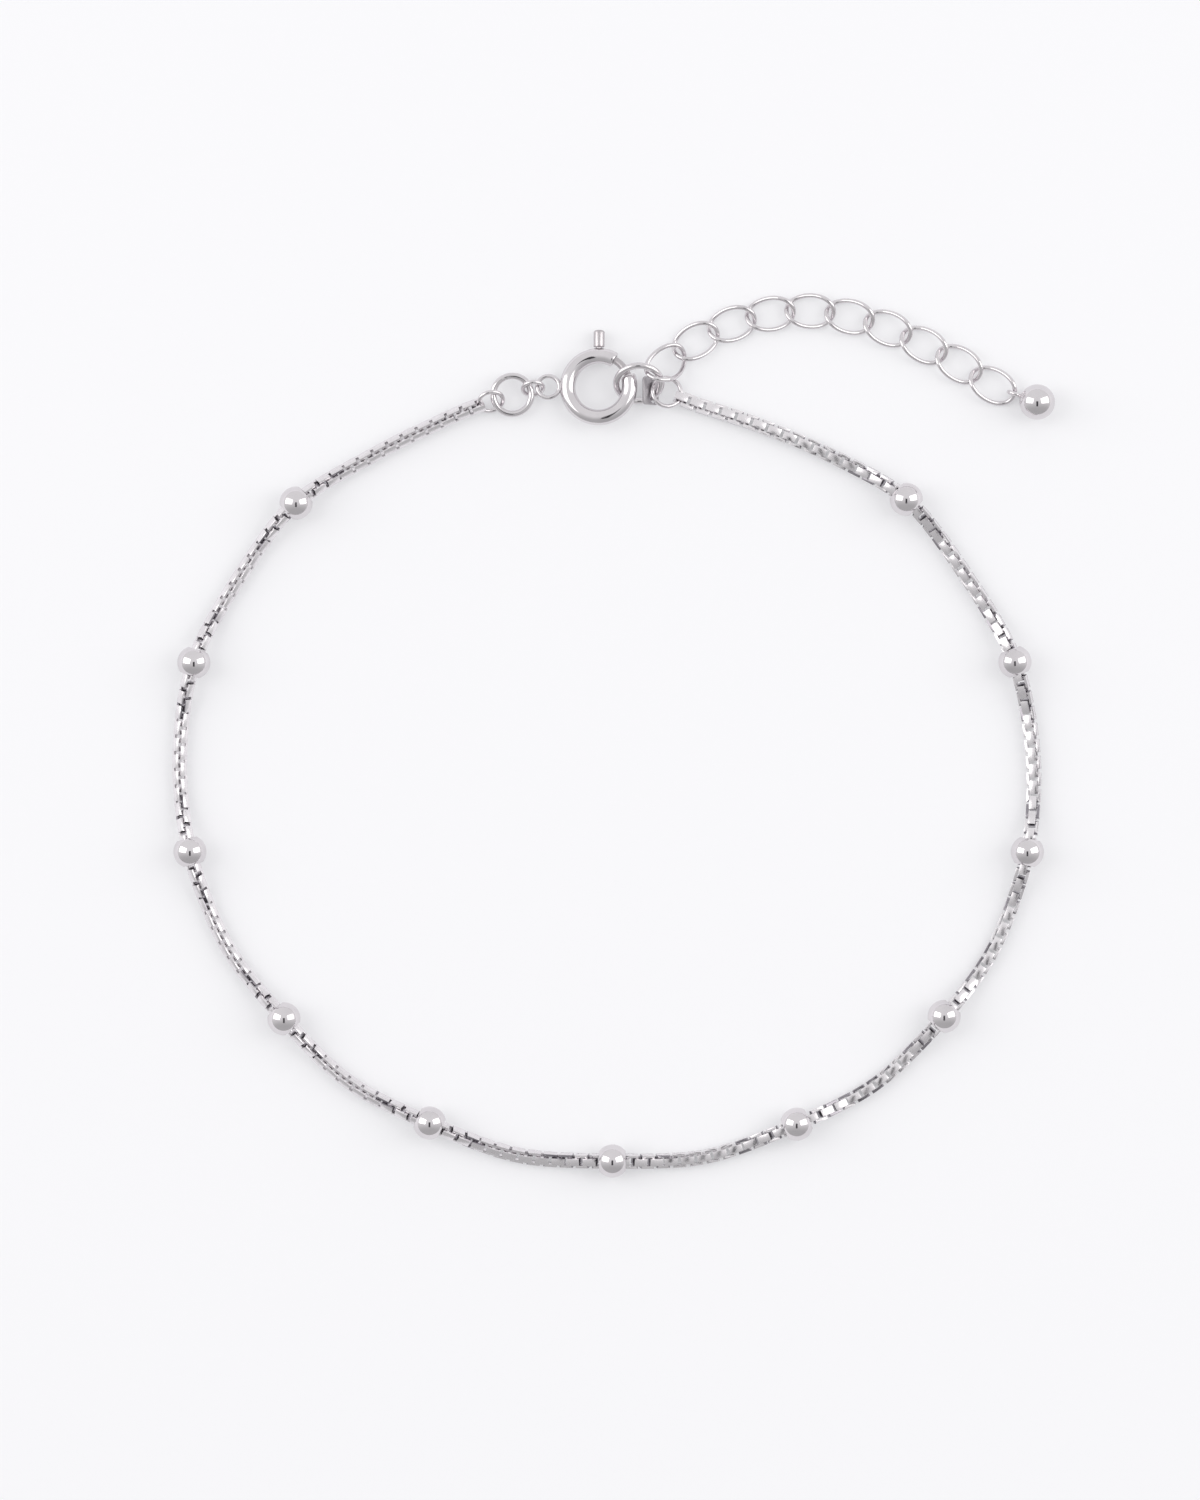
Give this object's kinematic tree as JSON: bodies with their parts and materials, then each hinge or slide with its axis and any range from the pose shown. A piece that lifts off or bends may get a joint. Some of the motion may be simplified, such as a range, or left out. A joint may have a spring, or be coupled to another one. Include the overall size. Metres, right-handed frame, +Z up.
{
  "type": "anklet",
  "caption": "Silver anklet laid flat: a box chain threaded through round beads, a spring ring clasp, and a curb link extension with an end bead.",
  "frame": {"origin": "centre of the bounding box's underside, on the surface that the anklet lies on", "axes": "+Z up from the surface; +Y from the loop's middle towards the clasp; +X towards the extension's end bead"},
  "size_m": [0.078, 0.0782, 0.0033],
  "materials": {
    "polished_silver": "polished silver, rhodium bright",
    "chain_silver": "polished silver box chain, slightly grey between its links",
    "plate_silver": "satin silver plate"
  },
  "bodies": {
    "anklet": {"box_chain_left": "chain_silver", "box_chain_right": "chain_silver", "bead_01": "polished_silver", "bead_02": "polished_silver", "bead_03": "polished_silver", "bead_04": "polished_silver", "bead_05": "polished_silver", "bead_06": "polished_silver", "bead_07": "polished_silver", "bead_08": "polished_silver", "bead_09": "polished_silver", "bead_10": "polished_silver", "bead_11": "polished_silver", "chain_end_ring_left": "polished_silver", "jump_ring_left": "polished_silver", "clasp_link": "polished_silver", "clasp_body": "polished_silver", "jump_ring_right": "polished_silver", "chain_end_ring_right": "polished_silver", "tag": "plate_silver", "extension_link_01": "polished_silver", "extension_link_02": "polished_silver", "extension_link_03": "polished_silver", "extension_link_04": "polished_silver", "extension_link_05": "polished_silver", "extension_link_06": "polished_silver", "extension_link_07": "polished_silver", "extension_link_08": "polished_silver", "extension_link_09": "polished_silver", "extension_link_10": "polished_silver", "end_bead": "polished_silver"},
    "clasp_bolt": {"clasp_bolt": "polished_silver"}
  },
  "joints": [
    {"name": "bolt_slide", "type": "hinge", "parent": "anklet", "child": "clasp_bolt", "pos_m": [-0.0013, 0.03076, 0.0014], "axis": [-0.0866, 0.1132, 0.9898], "range_deg": [0, 44], "stiffness_Nm_per_rad": 0.0002, "springref_deg": -11.46}
  ]
}
